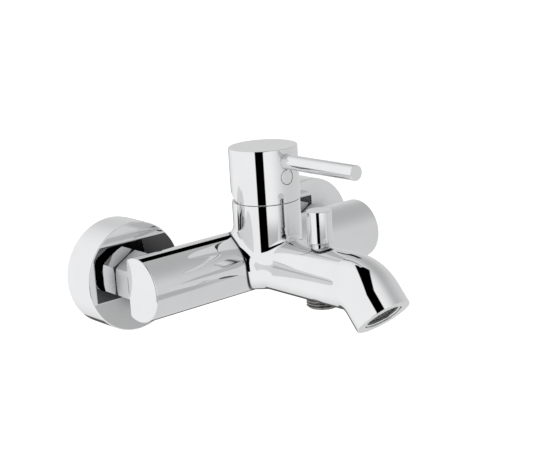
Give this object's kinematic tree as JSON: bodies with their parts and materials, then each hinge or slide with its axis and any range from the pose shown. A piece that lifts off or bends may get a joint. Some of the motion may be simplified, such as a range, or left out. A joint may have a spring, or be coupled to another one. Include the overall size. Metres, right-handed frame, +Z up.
{
  "type": "wall mounted bath mixer faucet",
  "caption": "Wall mounted single-lever bath mixer: D-section body tube, cartridge column, bent spout, pull-up diverter, shower outlet and deep round wall rosettes.",
  "frame": {"origin": "on the wall plane, midway between the two wall inlets", "axes": "+X along the body tube, +Y into the wall, +Z up; the spout points along -Y"},
  "size_m": [0.2188, 0.1938, 0.1092],
  "materials": {
    "chrome": "bright polished chrome plate",
    "brass": "machined brass",
    "nickel_thread": "satin nickel plate on cut threads",
    "steel": "drawn stainless steel",
    "rubber": "moulded EPDM",
    "foam": "closed-cell foam",
    "ceramic": "lapped ceramic",
    "white_plastic": "moulded acetal",
    "dark_plastic": "moulded glass-filled nylon"
  },
  "bodies": {
    "mixer_body": {"body_casting": "chrome", "cartridge_base": "white_plastic", "base_seals": "rubber", "fixed_disc": "ceramic", "cartridge_housing": "white_plastic", "cartridge_nut": "brass", "cartridge_dome": "chrome", "diverter_bonnet": "chrome", "bonnet_o_ring": "rubber", "diverter_spring": "steel", "shower_nipple": "nickel_thread", "nipple_o_ring": "rubber", "check_valve_housing": "dark_plastic", "check_valve_spring": "steel", "aerator_housing": "nickel_thread", "aerator_insert": "white_plastic", "aerator_gasket": "rubber", "rosette_left": "chrome", "rosette_right": "chrome", "rosette_seal_left": "foam", "rosette_seal_right": "foam", "s_union_left": "brass", "s_union_right": "brass", "union_nut_left": "chrome", "union_nut_right": "chrome", "inlet_tail_left": "brass", "inlet_tail_right": "brass", "filter_gasket_left": "rubber", "filter_gasket_right": "rubber"},
    "cartridge_rotor": {"disc_carrier": "dark_plastic", "pivot_pin": "steel"},
    "lever": {"lever_cap": "chrome", "lever_rod": "chrome", "index_plug": "chrome", "grub_screw": "steel", "cartridge_stem": "steel"},
    "control_disc": {"moving_disc": "ceramic", "disc_driver": "white_plastic"},
    "diverter": {"diverter_knob": "chrome", "diverter_rod": "steel", "diverter_piston": "white_plastic", "piston_seals": "rubber"},
    "poppet": {"check_poppet": "white_plastic"}
  },
  "joints": [
    {"name": "temperature_turn", "type": "hinge", "parent": "mixer_body", "child": "cartridge_rotor", "pos_m": [0, -0.0665, 0.056], "axis": [0, 0, 1], "range_deg": [-50, 50]},
    {"name": "flow_lift", "type": "hinge", "parent": "cartridge_rotor", "child": "lever", "pos_m": [0, -0.0665, 0.056], "axis": [-1, 0, 0], "range_deg": [0, 25]},
    {"name": "disc_slide", "type": "slide", "parent": "cartridge_rotor", "child": "control_disc", "axis": [0, -1, 0], "range_m": [0, 0.0045]},
    {"name": "diverter_pull", "type": "slide", "parent": "mixer_body", "child": "diverter", "axis": [0, 0, 1], "range_m": [0, 0.009], "stiffness_N_per_m": 150, "springref_m": -0.012, "deforming": ["diverter_spring"]},
    {"name": "check_open", "type": "slide", "parent": "mixer_body", "child": "poppet", "axis": [0, 0, -1], "range_m": [0, 0.002], "stiffness_N_per_m": 100, "springref_m": -0.004, "deforming": ["check_valve_spring"]}
  ],
  "couplings": [
    {"joint": "disc_slide", "follows": "flow_lift", "m_per_rad": 0.01017}
  ]
}
